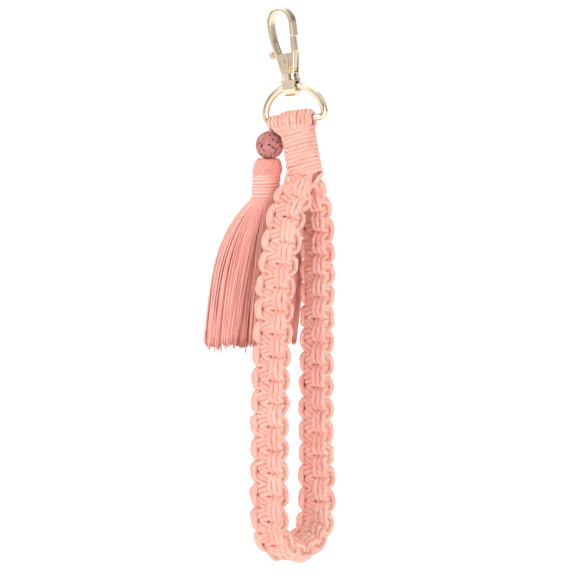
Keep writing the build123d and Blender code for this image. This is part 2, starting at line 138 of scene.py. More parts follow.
class WristletStageSettings(bpy.types.PropertyGroup):
    """Camera and floor."""

    azimuth: bpy.props.FloatProperty(
        name="Azimuth", description="Camera direction round the object", default=math.radians(28),
        subtype="ANGLE")
    elevation: bpy.props.FloatProperty(
        name="Elevation", description="Camera height as an angle", default=math.radians(5),
        subtype="ANGLE")
    frame_width: bpy.props.FloatProperty(
        name="Frame width", description="Width of the view at the object", default=0.2448, unit="LENGTH")


# ---------- lines and meshes
def unit(v):
    """Vectors of length 1 along the last axis."""
    return v / np.maximum(np.linalg.norm(v, axis=-1, keepdims=True), 1e-12)


def smooth(points, per_span):
    """Dense points on a Catmull-Rom curve through points."""
    points = np.asarray(points, float)
    p = np.vstack([2 * points[:1] - points[1:2], points, 2 * points[-1:] - points[-2:-1]])
    t = np.linspace(0, 1, per_span, endpoint=False)[:, None]
    spans = [
        0.5 * (2 * b + (c - a) * t + (2 * a - 5 * b + 4 * c - d) * t**2 + (3 * b - a - 3 * c + d) * t**3)
        for a, b, c, d in zip(p, p[1:], p[2:], p[3:])
    ]
    return np.concatenate([*spans, points[-1:]])


def wander(chance, count, knots, size):
    """A smooth random value at count places, from a number of random knots."""
    per_knot = 8
    values = smooth(chance.normal(0, size, (knots + 1, 1)), per_knot)[:, 0]
    return np.interp(np.linspace(0, 1, count), np.linspace(0, 1, len(values)), values)


def sides_of(paths):
    """Directions across paths of shape (strands, points, 3) that don't turn along them."""
    skew = (0.31, 0.62, 0.72)
    along = unit(np.gradient(paths, axis=1))
    side = np.empty_like(along)
    side[:, 0] = unit(np.cross(along[:, 0], skew))
    for i in range(1, paths.shape[1]):
        here = along[:, i]
        side[:, i] = unit(side[:, i - 1] - here * np.sum(side[:, i - 1] * here, axis=1, keepdims=True))
    return side, np.cross(along, side)


def strand_mesh(name, paths, radius, sides, tone_seed=1, painted_shade_glow_depth=None):
    """One mesh of round strands. paths is (strands, points, 3) in metres.
    UV map 'strand' holds millimetres along the strand and the share of a turn round it.
    The last argument, a function of the corners, says how deep each one lies, from 0 to 1; it sets where
    the cotton gets painted shade and a painted glow."""
    pattern_shift = 7.3
    count, length, _ = paths.shape
    radius = np.broadcast_to(radius, (count, length))
    side, up = sides_of(paths)
    angle = np.arange(sides) * 2 * math.pi / sides
    ring = side[:, :, None] * np.cos(angle)[:, None] + up[:, :, None] * np.sin(angle)[:, None]
    verts = (paths[:, :, None] + ring * radius[:, :, None, None]).reshape(-1, 3)
    first = (np.arange(count)[:, None] * length + np.arange(length - 1)).reshape(-1, 1) * sides
    here = np.arange(sides)
    after = (here + 1) % sides
    quads = np.stack([first + here, first + sides + here, first + sides + after, first + after], -1)
    quads = quads.reshape(-1, 4)
    starts = np.arange(count)[:, None] * length * sides + here[::-1]
    ends = (np.arange(count)[:, None] * length + length - 1) * sides + here
    caps = np.concatenate([starts, ends])
    mesh = bpy.data.meshes.new(name)
    mesh.from_pydata(verts, [], quads.tolist() + caps.tolist())
    run = np.linalg.norm(np.diff(paths, axis=1), axis=2).cumsum(axis=1) / MM
    run = np.concatenate([np.zeros((count, 1)), run], axis=1)
    run += np.arange(count)[:, None] * pattern_shift
    low, high = run[:, :-1].reshape(-1, 1), run[:, 1:].reshape(-1, 1)
    low, high = np.repeat(low, sides, axis=1), np.repeat(high, sides, axis=1)
    around = np.broadcast_to(here / sides, low.shape)
    u = np.stack([low, high, high, low], -1).reshape(-1)
    v = np.stack([around, around, around + 1 / sides, around + 1 / sides], -1).reshape(-1)
    uv = np.zeros((len(u) + caps.size, 2))
    uv[: len(u), 0], uv[: len(u), 1] = u, v
    mesh.uv_layers.new(name="strand").data.foreach_set("uv", uv.reshape(-1))
    tone = np.random.default_rng(tone_seed).random(count)
    tone = np.repeat(tone, length * sides)
    mesh.attributes.new("tone", "FLOAT", "POINT").data.foreach_set("value", tone)
    if painted_shade_glow_depth:
        mesh.attributes.new("painted_shade_glow_depth", "FLOAT", "POINT").data.foreach_set("value", painted_shade_glow_depth(verts))
    mesh.polygons.foreach_set("use_smooth", np.ones(len(mesh.polygons), bool))
    return mesh


def add_piece(name, mesh, finish, body, nodes):
    """Put a mesh into the scene as a piece of the object, in place of some CAD nodes or none."""
    piece = bpy.data.objects.new(name, mesh)
    bpy.context.scene.collection.objects.link(piece)
    mesh.materials.append(material_of(finish))
    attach(piece, body)
    if nodes:
        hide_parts(*nodes)


def node_points(node):
    """The corners of a CAD node's mesh, in metres."""
    mesh = frame["nodes"][node].data
    points = np.empty(len(mesh.vertices) * 3)
    mesh.vertices.foreach_get("co", points)
    return points.reshape(-1, 3)


def clean_mesh(bm, name):
    """A mesh with outward normals and smooth shading from a bmesh, which is freed."""
    bmesh.ops.recalc_face_normals(bm, faces=bm.faces)
    mesh = bpy.data.meshes.new(name)
    bm.to_mesh(mesh)
    bm.free()
    mesh.polygons.foreach_set("use_smooth", np.ones(len(mesh.polygons), bool))
    return mesh


# ---------- shader groups
def group_tree(name, inputs, outputs):
    """An empty shader group with float or vector sockets, and its end nodes."""
    tree = bpy.data.node_groups.new(name, "ShaderNodeTree")
    for title, kind, value in inputs:
        socket = tree.interface.new_socket(title, in_out="INPUT", socket_type=kind)
        socket.default_value = value
    for title, kind in outputs:
        tree.interface.new_socket(title, in_out="OUTPUT", socket_type=kind)
    return tree, tree.nodes.new("NodeGroupInput"), tree.nodes.new("NodeGroupOutput")


def feed(tree, socket, value):
    """Link another node's output to a socket, or set the socket to a number or a colour."""
    if isinstance(value, bpy.types.NodeSocket):
        tree.links.new(value, socket)
    elif isinstance(value, (int, float)):
        socket.default_value = value
    else:
        socket.default_value = (*value, 1.0)


def add_math(tree, operation, *values):
    """A math node; returns its output."""
    node = tree.nodes.new("ShaderNodeMath")
    node.operation = operation
    for socket, value in zip(node.inputs, values):
        feed(tree, socket, value)
    return node.outputs[0]


def add_noise(tree, vector, scale, detail, roughness=0.5):
    """A noise texture; returns its value."""
    node = tree.nodes.new("ShaderNodeTexNoise")
    values = {"Vector": vector, "Scale": scale, "Detail": detail, "Roughness": roughness}
    for title, value in values.items():
        feed(tree, node.inputs[title], value)
    return node.outputs["Fac"]


def add_range(tree, value, low, high, to_low=0.0, to_high=1.0):
    """Stretch values from low and high to a new range, and clamp them to it."""
    node = tree.nodes.new("ShaderNodeMapRange")
    tree.links.new(value, node.inputs["Value"])
    for title, number in (("From Min", low), ("From Max", high), ("To Min", to_low), ("To Max", to_high)):
        node.inputs[title].default_value = number
    return node.outputs["Result"]


def strand_fibre_group():
    """Twisted plies and fine fibres that run along a strand."""
    tree, start, end = group_tree(
        "Strand Fibre",
        [
            ("Plies", "NodeSocketFloat", 3.0),
            ("Lay", "NodeSocketFloat", 9.0),
            ("Fibre Twist", "NodeSocketFloat", 0.04),
            ("Fibre Scale", "NodeSocketFloat", 2.6),
            ("Ply Share", "NodeSocketFloat", 0.5),
        ],
        [("Height", "NodeSocketFloat"), ("Fibre", "NodeSocketFloat")],
    )
    ply_roundness, fibre_stretch = 0.6, 0.06
    uv = tree.nodes.new("ShaderNodeUVMap")
    uv.uv_map = "strand"
    parts = tree.nodes.new("ShaderNodeSeparateXYZ")
    tree.links.new(uv.outputs[0], parts.inputs[0])
    run, turn = parts.outputs["X"], parts.outputs["Y"]
    lay_turn = add_math(tree, "ADD", turn, add_math(tree, "DIVIDE", run, start.outputs["Lay"]))
    half_turns = add_math(tree, "MULTIPLY", start.outputs["Plies"], math.pi)
    phase = add_math(tree, "MULTIPLY", lay_turn, half_turns)
    ply = add_math(tree, "ABSOLUTE", add_math(tree, "SINE", phase))
    ply = add_math(tree, "POWER", ply, ply_roundness)
    fibre_turn = add_math(tree, "ADD", turn, add_math(tree, "MULTIPLY", run, start.outputs["Fibre Twist"]))
    around = add_math(tree, "MULTIPLY", fibre_turn, 2 * math.pi)
    vector = tree.nodes.new("ShaderNodeCombineXYZ")
    tree.links.new(add_math(tree, "COSINE", around), vector.inputs[0])
    tree.links.new(add_math(tree, "SINE", around), vector.inputs[1])
    tree.links.new(add_math(tree, "MULTIPLY", run, fibre_stretch), vector.inputs[2])
    fibre = add_noise(tree, vector.outputs[0], start.outputs["Fibre Scale"], 5.0, 0.62)
    fibre = add_range(tree, fibre, 0.3, 0.7)
    share = start.outputs["Ply Share"]
    rest = add_math(tree, "SUBTRACT", 1.0, share)
    ply_height = add_math(tree, "MULTIPLY", ply, share)
    height = add_math(tree, "ADD", ply_height, add_math(tree, "MULTIPLY", fibre, rest))
    tree.links.new(height, end.inputs["Height"])
    tree.links.new(fibre, end.inputs["Fibre"])
    return tree


def soft_patches_group():
    """Slow, uneven patches over the whole object, for colour and polish."""
    tree, start, end = group_tree(
        "Soft Patches",
        [("Size", "NodeSocketFloat", 90.0), ("Fine Size", "NodeSocketFloat", 900.0)],
        [("Patches", "NodeSocketFloat"), ("Grain", "NodeSocketFloat")],
    )
    place = tree.nodes.new("ShaderNodeTexCoord")
    slow = add_noise(tree, place.outputs["Object"], start.outputs["Size"], 3.0)
    fine = add_noise(tree, place.outputs["Object"], start.outputs["Fine Size"], 4.0, 0.6)
    tree.links.new(add_range(tree, slow, 0.3, 0.7), end.inputs["Patches"])
    tree.links.new(add_range(tree, fine, 0.25, 0.75), end.inputs["Grain"])
    return tree


GROUPS = {}


def group_node(tree, maker, **values):
    """Place a shader group in a material, building the group once."""
    if maker.__name__ not in GROUPS:
        GROUPS[maker.__name__] = maker()
    node = tree.nodes.new("ShaderNodeGroup")
    node.node_tree = GROUPS[maker.__name__]
    for title, value in values.items():
        node.inputs[title.replace("_", " ")].default_value = value
    return node


def new_material(name):
    """A material with its node tree and its Principled shader."""
    material = bpy.data.materials.new(name)
    material.use_nodes = True
    shader = material.node_tree.nodes["Principled BSDF"]
    return material, material.node_tree, shader


def add_mix(tree, share, a, b):
    """Mix two colours by a share; returns the colour socket."""
    node = tree.nodes.new("ShaderNodeMix")
    node.data_type = "RGBA"
    factor, first, second = (node.inputs[index] for index in (0, 6, 7))
    for socket, value in ((factor, share), (first, a), (second, b)):
        feed(tree, socket, value)
    return node.outputs[2]


def shaded(colour, shares):
    """A colour with each channel taken times a share, or all of them times one."""
    return tuple(channel * share for channel, share in zip(colour, np.broadcast_to(shares, 3).tolist()))


def add_bump(tree, shader, height, strength, distance):
    """Give a shader a bump from a height."""
    bump = tree.nodes.new("ShaderNodeBump")
    bump.inputs["Strength"].default_value = strength
    bump.inputs["Distance"].default_value = distance
    tree.links.new(height, bump.inputs["Height"])
    tree.links.new(bump.outputs[0], shader.inputs["Normal"])


def attribute(tree, name):
    """The value of one of the mesh's own attributes."""
    node = tree.nodes.new("ShaderNodeAttribute")
    node.attribute_name = name
    return node.outputs["Fac"]


def cotton_material(name, light, deep, fibre, roughness, bump, sheen):
    """Soft twisted cotton: painted highlight on the raised plies and fibres, painted shade in the creases
    between them, a little uneven dye.
    """
    material, tree, shader = new_material(name)
    strand = group_node(tree, strand_fibre_group, **fibre)
    patches = group_node(tree, soft_patches_group)
    # The colour is mixed from deep to light by the ply and fibre height, as painted highlight on the raised
    # plies and painted shade in the grooves, together with uneven dye patches and a random tone for each
    # strand.
    raised = add_math(tree, "MULTIPLY", strand.outputs["Height"], 0.9)
    raised = add_math(tree, "ADD", raised, add_math(tree, "MULTIPLY", patches.outputs["Patches"], 0.22))
    raised = add_math(tree, "ADD", raised, add_math(tree, "MULTIPLY", attribute(tree, "tone"), 0.14))
    colour = add_mix(tree, add_range(tree, raised, 0.28, 0.92), deep, light)

    # Deep between the strands the cotton gets painted shade, a darker colour, and a faint reddish painted
    # glow from the emission, which stands in for a little light soaking through it.
    painted_shade_glow_depth = attribute(tree, "painted_shade_glow_depth")
    inner, painted_glow = shaded(deep, (1.0, 0.8, 0.8)), shaded(deep, (0.34, 0.22, 0.24))
    colour = add_mix(tree, add_math(tree, "MULTIPLY", painted_shade_glow_depth, 0.85), colour, inner)
    tree.links.new(colour, shader.inputs["Base Color"])
    tree.links.new(add_mix(tree, painted_shade_glow_depth, (0.0, 0.0, 0.0), painted_glow), shader.inputs["Emission Color"])
    shader.inputs["Emission Strength"].default_value = 1.0

    uneven = 0.08
    rough = add_range(tree, strand.outputs["Fibre"], 0, 1, roughness + uneven, roughness - uneven)
    tree.links.new(rough, shader.inputs["Roughness"])
    shader.inputs["Sheen Weight"].default_value = sheen
    shader.inputs["Sheen Roughness"].default_value = 0.45
    shader.inputs["Sheen Tint"].default_value = (1.0, 0.86, 0.80, 1.0)
    shader.inputs["Specular IOR Level"].default_value = 0.25
    add_bump(tree, shader, strand.outputs["Height"], bump, 0.5 * MM)
    return material


def metal_material(name, colour, roughness):
    """Polished plating with faint patches and hairline marks in the polish."""
    material, tree, shader = new_material(name)
    patches = group_node(tree, soft_patches_group, Size=160.0, Fine_Size=1500.0)
    mixed = add_mix(tree, patches.outputs["Patches"], shaded(colour, 0.88), colour)
    tree.links.new(mixed, shader.inputs["Base Color"])
    polish = add_math(tree, "MULTIPLY", patches.outputs["Grain"], 0.10)
    polish = add_math(tree, "ADD", polish, add_math(tree, "MULTIPLY", patches.outputs["Patches"], 0.05))
    tree.links.new(add_math(tree, "ADD", polish, roughness - 0.05), shader.inputs["Roughness"])
    shader.inputs["Metallic"].default_value = 1.0
    add_bump(tree, shader, patches.outputs["Grain"], 0.04, 0.05 * MM)
    return material


def stone_material(name, stone, pore_shade):
    """Matt porous stone: deep pores with painted shade in them and in the drilled hole, dusty ridges, fine
    grain.
    """
    material, tree, shader = new_material(name)
    patches = group_node(tree, soft_patches_group, Size=420.0, Fine_Size=2600.0)
    dusty = tuple(min(channel * 1.45 + 0.03, 1) for channel in stone)
    body = add_mix(tree, patches.outputs["Patches"], stone, dusty)
    grain = add_math(tree, "MULTIPLY", patches.outputs["Grain"], 0.45)
    body = add_mix(tree, grain, body, shaded(stone, 0.6))
    # Painted shade: the pores and the drilled hole take the dark pore colour.
    colour = add_mix(tree, add_range(tree, attribute(tree, "pore_shade"), 0.15, 0.8), body, pore_shade)
    tree.links.new(colour, shader.inputs["Base Color"])
    tree.links.new(add_range(tree, patches.outputs["Grain"], 0, 1, 0.82, 0.96), shader.inputs["Roughness"])
    shader.inputs["Specular IOR Level"].default_value = 0.3
    add_bump(tree, shader, patches.outputs["Grain"], 0.5, 0.12 * MM)
    return material


# How the plies and fibres lie in the soft cord, and in the tassel's fine thread.
SOFT_CORD = {"Plies": 4.0, "Lay": 6.5, "Fibre_Twist": 0.10, "Fibre_Scale": 2.6, "Ply_Share": 0.38}
FINE_THREAD = {"Plies": 2.0, "Lay": 3.0, "Fibre_Twist": 0.05, "Fibre_Scale": 2.0, "Ply_Share": 0.5}
MATERIALS = {}


def make_material(key):
    """A finish from the settings; cotton takes light, deep, fibre, roughness, bump and sheen."""
    scene = bpy.context.scene
    cord, tassel, metal = scene.wristlet_cord, scene.wristlet_tassel, scene.wristlet_metal
    if key == "cord":
        return cotton_material("Cotton Cord", cord.light, cord.deep, SOFT_CORD, 0.85, 0.9, 0.35)
    if key == "filler":
        return cotton_material("Filler Cord", cord.light, cord.deep, SOFT_CORD, 0.9, 0.9, 0.2)
    if key == "thread":
        return cotton_material("Tassel Thread", tassel.light, tassel.deep, FINE_THREAD, 0.6, 0.4, 0.3)
    if key == "head":
        light = shaded(tassel.light, (0.93, 0.80, 0.80))
        return cotton_material("Tassel Head Thread", light, tassel.deep, FINE_THREAD, 0.7, 0.6, 0.2)
    if key == "gold":
        return metal_material("Pale Gold Plate", metal.gold, metal.roughness)
    if key == "warm":
        return metal_material("Warm Gold Plate", metal.warm, metal.roughness)
    if key == "steel":
        return metal_material("Spring Wire", SPRING_STEEL, 0.3)
    if key == "stone":
        return stone_material("Lava Stone", tassel.bead_stone, tassel.bead_pore_shade)
    raise ValueError(f"there is no finish {key}")


def material_of(key):
    """Each finish is made once."""
    if key not in MATERIALS:
        MATERIALS[key] = make_material(key)
    return MATERIALS[key]


# ---------- metal
class WRISTLET_OT_metal(bpy.types.Operator):
    """Give the clasp, its pin, spring and post, the swivel eye and the D-ring their plating"""

    bl_idname = "wristlet.metal"
    bl_label = "Finish Metal"

    def execute(self, context):
        finishes = {
            "gold": ("clasp_body", "gate_lever", "swivel_eye", "d_ring"),
            "warm": ("gate_pin", "swivel_post"),
            "steel": ("gate_spring",),
        }
        for key, nodes in finishes.items():
            for node in nodes:
                materials = frame["nodes"][node].data.materials
                materials.clear()
                materials.append(material_of(key))
        return {"FINISHED"}


# ---------- ring frame
def ring_axes():
    """Middle of the bar and the directions along it, to the back and up the leaning ring, in metres."""
    along = np.array(JOINTS["strap_swing"]["axis"], float)
    middle = np.array(JOINTS["strap_swing"]["pos_m"], float)
    back = np.array((0.0, 1.0, 0.0))
    return middle, along, back, np.cross(along, back)


def from_ring(points):
    """Millimetres in the ring's own frame to metres in the object's frame."""
    middle, along, back, up = ring_axes()
    points = np.asarray(points, float) * MM
    return middle + points[..., :1] * along + points[..., 1:2] * back + points[..., 2:] * up


# Millimetres in the ring's own frame: along the bar, to the back, and up from the bar's middle.
BAR_RADIUS = 1.5
HITCH_MIDDLE = -1.1
HITCH_PITCH = 1.76
UNDER_TURNS = 11
OVER_TURNS = 8
OVER_REACH = 3.7
OVER_DOME = 0.045
UNDER_HALF_THICK = 2.3
OVER_HALF_THICK = 2.9
GATHERED_PITCH = 1.1
NECK_HALF_WIDTH = 7.8
NECK_HALF_THICK = 4.6
NECK_TOP = -3.2
NECK_FOOT = -24.96
NECK_TURNS = 12
NECK_SHIFT = (0.3, 1.2)
NECK_MEAN_RADIUS = 7
NECK_SLANT = 0.7
STEPS_A_TURN = 26
# Route of the wrap's cut end, from where the last turn stops.
NECK_TAIL = [(0.0, 0.0, 0.0), (0.7, -1.3, -0.5), (0.2, -2.9, -1.7), (-1.3, -3.8, -3.6), (-3.0, -4.2, -5.2)]
FRAY_THREADS = 16
FRAY_RADIUS = 0.13


def over_bar(x, reach, neck_x, neck_y, top_lean):
    """Route of one turn over the bar: up the front, over, and down the back."""
    sweep = np.radians(np.linspace(-20, 200, 11))
    arc = [(x + top_lean * math.sin(a), -reach * math.cos(a), reach * math.sin(a)) for a in sweep]
    front = [
        (neck_x, -neck_y, -9.0),
        (neck_x, -neck_y, -6.0),
        (x * 0.4 + neck_x * 0.6, -neck_y - 0.3, -4.2),
        (x * 0.9 + neck_x * 0.1, -reach * 1.04, -2.0),
    ]
    back = [(px, -py, pz) for px, py, pz in reversed(front)]
    return smooth(front + arc + back, 5)


class WRISTLET_OT_hitch(bpy.types.Operator):
    """Lay the turns of cord side by side over the D-ring's bar"""

    bl_idname = "wristlet.hitch"
    bl_label = "Add Bar Cords"

    def execute(self, context):
        radius = context.scene.wristlet_cord.wrap_radius
        snug = BAR_RADIUS + radius / MM - 0.02
        chance = np.random.default_rng(11)
        under = [
            over_bar(
                HITCH_MIDDLE + turn * HITCH_PITCH + chance.normal(0, 0.08),
                snug + chance.normal(0, 0.05),
                turn * GATHERED_PITCH,
                UNDER_HALF_THICK,
                chance.normal(0, 0.15),
            )
            for turn in np.arange(UNDER_TURNS) - (UNDER_TURNS - 1) / 2
        ]
        # The second layer lies half a turn to the side and is highest near its own middle.
        over = [
            over_bar(
                HITCH_MIDDLE + (turn + 1) * HITCH_PITCH + chance.normal(0, 0.18),
                OVER_REACH - OVER_DOME * turn**2 + chance.normal(0, 0.08),
                (turn + 1) * GATHERED_PITCH,
                OVER_HALF_THICK,
                chance.normal(0, 0.35),
            )
            for turn in np.arange(OVER_TURNS) - (OVER_TURNS - 1) / 2
        ]
        paths = from_ring(np.array(under + over))
        mesh = strand_mesh("bar_cords", paths, radius, 12, 5)
        add_piece("bar_cords", mesh, "cord", "strap", ["hitch_cords"])
        return {"FINISHED"}


def neck_oval(angle, half_width, half_thick):
    """A rounded oblong; angle 0 points along the bar, 90 degrees to the front."""
    squareness = 2.7
    power = 2 / squareness
    c, s = np.cos(angle), np.sin(angle)
    x = np.sign(c) * np.abs(c) ** power * half_width
    y = -np.sign(s) * np.abs(s) ** power * half_thick
    return x, y


class WRISTLET_OT_neck(bpy.types.Operator):
    """Wind the wrapping cord round the neck and leave its cut end out at the side"""

    bl_idname = "wristlet.neck"
    bl_label = "Add Neck Wrap"

    def execute(self, context):
        radius = context.scene.wristlet_cord.wrap_radius
        chance = np.random.default_rng(23)
        steps = NECK_TURNS * STEPS_A_TURN
        share = np.arange(steps + 1) / STEPS_A_TURN
        angle = share * 2 * math.pi - 0.4
        loose = wander(chance, steps + 1, NECK_TURNS * 4, 0.12)
        out = 1 + loose / NECK_MEAN_RADIUS
        inset = radius / MM
        x, y = neck_oval(angle, (NECK_HALF_WIDTH - inset) * out, (NECK_HALF_THICK - inset) * out)
        pitch = (NECK_TOP - NECK_FOOT) / NECK_TURNS
        z = NECK_TOP - pitch * 0.5 - share * pitch * (NECK_TURNS - 1) / NECK_TURNS
        z += NECK_SLANT * x / NECK_HALF_WIDTH - 0.15 + loose * 0.8
        x = x + np.interp(share, (0, NECK_TURNS), NECK_SHIFT)
        wound = np.stack([x, y, z], -1)
        tail = smooth(wound[-1] + np.array(NECK_TAIL), 6)[1:]
        path = from_ring(np.concatenate([wound, tail]))[None]
        mesh = strand_mesh("neck_wrap_cord", path, radius, 12, 6)
        add_piece("neck_wrap_cord", mesh, "cord", "strap", ["neck_wrap", "neck_core"])

        fray = []
        for _ in range(FRAY_THREADS):
            drift = chance.normal(0, 1, 3)
            start = tail[-3] + chance.normal(0, 0.3, 3)
            tip = tail[-1] + drift + (-1.3, -0.2, -1.3)
            fray.append(smooth([start, tail[-1] + drift * 0.45, tip], 5))
        fray_mesh = strand_mesh("neck_wrap_fray", from_ring(np.array(fray)), FRAY_RADIUS * MM, 5, 7)
        add_piece("neck_wrap_fray", fray_mesh, "cord", "strap", ())
        return {"FINISHED"}


# ---------- strap
def strap_lines():
    """Places counted in knots along the strap, its centre line there through the middles of the knots,
    and the directions across, outwards and along."""
    middles, widths = [], []
    for node in KNOT_NODES:
        low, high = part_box(node)
        points = node_points(node)
        centre = points.mean(0)
        spread = points - centre
        width = np.linalg.eigh(spread.T @ spread)[1][:, -1]
        middles.append((np.array(low) + np.array(high)) / 2 * 0.5 + centre * 0.5)
        widths.append(width if width[0] > 0 else -width)
    middles, widths = np.array(middles), unit(np.array(widths))
    beside = 2
    mean = np.ones(2 * beside + 1) / (2 * beside + 1)
    padded = np.pad(widths, ((beside, beside), (0, 0)), "edge")
    widths = np.stack([np.convolve(padded[:, k], mean, "valid") for k in range(3)], -1)
    middles = np.vstack([2 * middles[:1] - middles[1:2], middles, 2 * middles[-1:] - middles[-2:-1]])
    widths = np.vstack([widths[:1], widths, widths[-1:]])
    per_knot = 16
    line = smooth(middles, per_knot)
    across = smooth(widths, per_knot)
    place = np.arange(len(line)) / per_knot - 0.5
    along = unit(np.gradient(line, axis=0))
    across = unit(across - along * np.sum(across * along, axis=1, keepdims=True))
    return place, line, across, np.cross(along, across), along


def on_strap(lines, place):
    """Values of the strap's lines at a place counted in knots."""
    at = lines[0]
    return [np.stack([np.interp(place, at, values[:, k]) for k in range(3)], -1) for values in lines[1:]]


def from_strap(lines, points):
    """How far each point lies across and outwards from the strap's centre line, in millimetres."""
    _, line, across, outward, _ = lines
    batch = 4000
    near = np.empty(len(points), int)
    for first in range(0, len(points), batch):
        some = points[first: first + batch]
        near[first: first + batch] = np.argmin(((some[:, None] - line[None]) ** 2).sum(-1), axis=1)
    way = (points - line[near]) / MM
    return np.sum(way * across[near], axis=1), np.sum(way * outward[near], axis=1)


KNOT_HALF_WIDTH = 7.9
KNOT_HALF_THICK = 5.0
STRAND_SPACING = 1.84
STRAND_ROUNDING = 0.22
FILLER_RADIUS = 1.5
FILLER_ROWS = (-5.3, -2.7, 0.0, 2.7, 5.3)
FILLER_LAYERS = (-1.15, 1.15)

# Route of a working bundle through half a square knot, for the bundle that bulges at the front: out
# over the right edge, down it for a knot's length, round it to the back, and across the back, rising
# a little, to the left edge. Columns: millimetres across and outwards from the strap's middle, the share
# of a knot along it, the way the bundle faces (across, out, along), and how far its strands spread.
# The other bundle runs the same way with front and back, left and right changed over.
KNOT_ROUTE = [
    (4.9, 0.0, 0.555, 0.0, 0.0, -1.0, 0.75),
    (5.3, 1.9, 0.575, 0.3, 0.3, -0.9, 0.85),
    (5.7, 3.2, 0.70, 0.5, 0.75, -0.45, 0.95),
    (5.8, 3.65, 0.85, 0.55, 0.85, -0.15, 1.05),
    (5.9, 3.75, 1.00, 0.55, 0.85, 0.0, 1.10),
    (5.8, 3.65, 1.15, 0.55, 0.85, 0.15, 1.05),
    (5.7, 3.2, 1.30, 0.5, 0.75, 0.45, 0.95),
    (5.3, 1.9, 1.425, 0.3, 0.3, 0.9, 0.85),
    (4.9, 0.0, 1.445, 0.0, 0.0, 1.0, 0.75),
    (4.1, -2.2, 1.42, 0.2, -0.6, 0.6, 0.85),
    (1.9, -3.5, 1.32, 0.0, -1.0, 0.0, 1.00),
    (-1.9, -3.5, 1.18, 0.0, -1.0, 0.0, 1.00),
    (-4.1, -2.2, 1.08, -0.2, -0.6, -0.6, 0.85),
]


def bundle_paths(lines, side, strands, spacing, seed):
    """Strand routes of one working bundle through all the knots, side 1 or -1 for the two bundles.
    Each further half knot is the one before with left and right changed over."""
    uneven = (0.14, 0.12, 0.008)
    chance = np.random.default_rng(seed)
    rows = []
    for half in range(-2, 2 * len(KNOT_NODES) + 2):
        flip = side if half % 2 else -side
        for across, out, share, face_across, face_out, face_along, spread in KNOT_ROUTE:
            shift = chance.normal(0, 1, 3) * uneven
            rows.append((flip * across + shift[0], side * out + shift[1], half / 2 + share - 0.5 + shift[2],
                         flip * face_across, side * face_out, face_along, spread * (1 + shift[2] * 3)))
    rows = smooth(np.array(rows), 4)
    count = len(KNOT_NODES)
    kept = np.flatnonzero((rows[:, 2] > -0.4) & (rows[:, 2] < count + 0.4))
    rows = rows[kept[0]: kept[-1] + 1]
    rows[:, 2] = np.clip(rows[:, 2], -0.5, count + 0.5)
    # The first and the last knot are drawn in towards the neck.
    inside = np.minimum(rows[:, 2], count - rows[:, 2])
    rows[:, :2] *= np.interp(inside, (-0.4, 0.5), (0.72, 1.0))[:, None]
    line, width, outward, along = on_strap(lines, rows[:, 2])
    centre = line + width * rows[:, :1] * MM + outward * rows[:, 1:2] * MM
    facing = width * rows[:, 3:4] + outward * rows[:, 4:5] + along * rows[:, 5:6]
    way = unit(np.gradient(centre, axis=0))
    facing = unit(facing - way * np.sum(facing * way, axis=1, keepdims=True))
    sideways = np.cross(way, facing)
    length, bends = len(rows), len(rows) // 7
    paths = []
    for strand in range(strands):
        offset = strand - (strands - 1) / 2
        step = spacing * offset * rows[:, 6] + wander(chance, length, bends, 0.08)
        lift = -STRAND_ROUNDING * offset**2 + wander(chance, length, bends, 0.10)
        paths.append(centre + sideways * step[:, None] * MM + facing * lift[:, None] * MM)
    return np.array(paths)


class WRISTLET_OT_knots(bpy.types.Operator):
    """Tie the row of square knots round the filler cords"""

    bl_idname = "wristlet.knots"
    bl_label = "Add Square Knots"

    def execute(self, context):
        settings = context.scene.wristlet_cord
        lines = strap_lines()

        def knot_depth(points):
            """0 near the knots' surface to 1 deep inside them; it sets the painted shade and painted glow
            deep in the knots.
            """
            across, out = from_strap(lines, points)
            round_power, shallow, fade = 2.6, 0.80, 0.34
            reach = (np.abs(across) / KNOT_HALF_WIDTH) ** round_power
            reach = (reach + (np.abs(out) / KNOT_HALF_THICK) ** round_power) ** (1 / round_power)
            return np.clip((shallow - reach) / fade, 0, 1)

        for name, side, seed, nodes in (
            ("front_bundle", -1, 31, KNOT_NODES[0::2]),
            ("back_bundle", 1, 37, KNOT_NODES[1::2]),
        ):
            paths = bundle_paths(lines, side, settings.strands, STRAND_SPACING, seed)
            mesh = strand_mesh(name, paths, settings.strand_radius, 9, seed, knot_depth)
            add_piece(name, mesh, "cord", "strap", nodes)
        return {"FINISHED"}


class WRISTLET_OT_fillers(bpy.types.Operator):
    """Run the filler cords through the knots and up into the neck"""

    bl_idname = "wristlet.fillers"
    bl_label = "Add Filler Cords"

    def execute(self, context):
        place = np.linspace(0.0, len(KNOT_NODES), 240)
        line, width, outward, _ = on_strap(strap_lines(), place)
        in_neck, limb_out = 4.0, 1.4
        neck = from_ring([(0.0, 0.0, NECK_FOOT + in_neck)])
        paths = []
        for across in FILLER_ROWS:
            for out in FILLER_LAYERS:
                inner = line + width * across * MM + outward * out * MM
                top = np.array([[across * 0.9, out * 0.4, 0]])
                start = neck + (top - (0, limb_out, 0)) * MM
                finish = neck + (top + (0, limb_out, 0)) * MM
                head = smooth(np.vstack([start, inner[:1]]), 4)[:-1]
                tail = smooth(np.vstack([inner[-1:], finish]), 4)[1:]
                paths.append(np.vstack([head, inner, tail]))
        mesh = strand_mesh("filler_cords", np.array(paths), FILLER_RADIUS * MM, 10, 9)
        add_piece("filler_cords", mesh, "filler", "strap", ["strap_core"])
        return {"FINISHED"}


# ---------- bead
PORES = 300
SMALLEST_PORE = 0.035
PORE_RANGE = 0.085
PORE_STEEPNESS = 0.55
PORE_DEPTH = 0.62
LUMP_WAVES = 40
LUMP_HEIGHT = 0.0035
BEAD_HOLE_RADIUS = 1.25


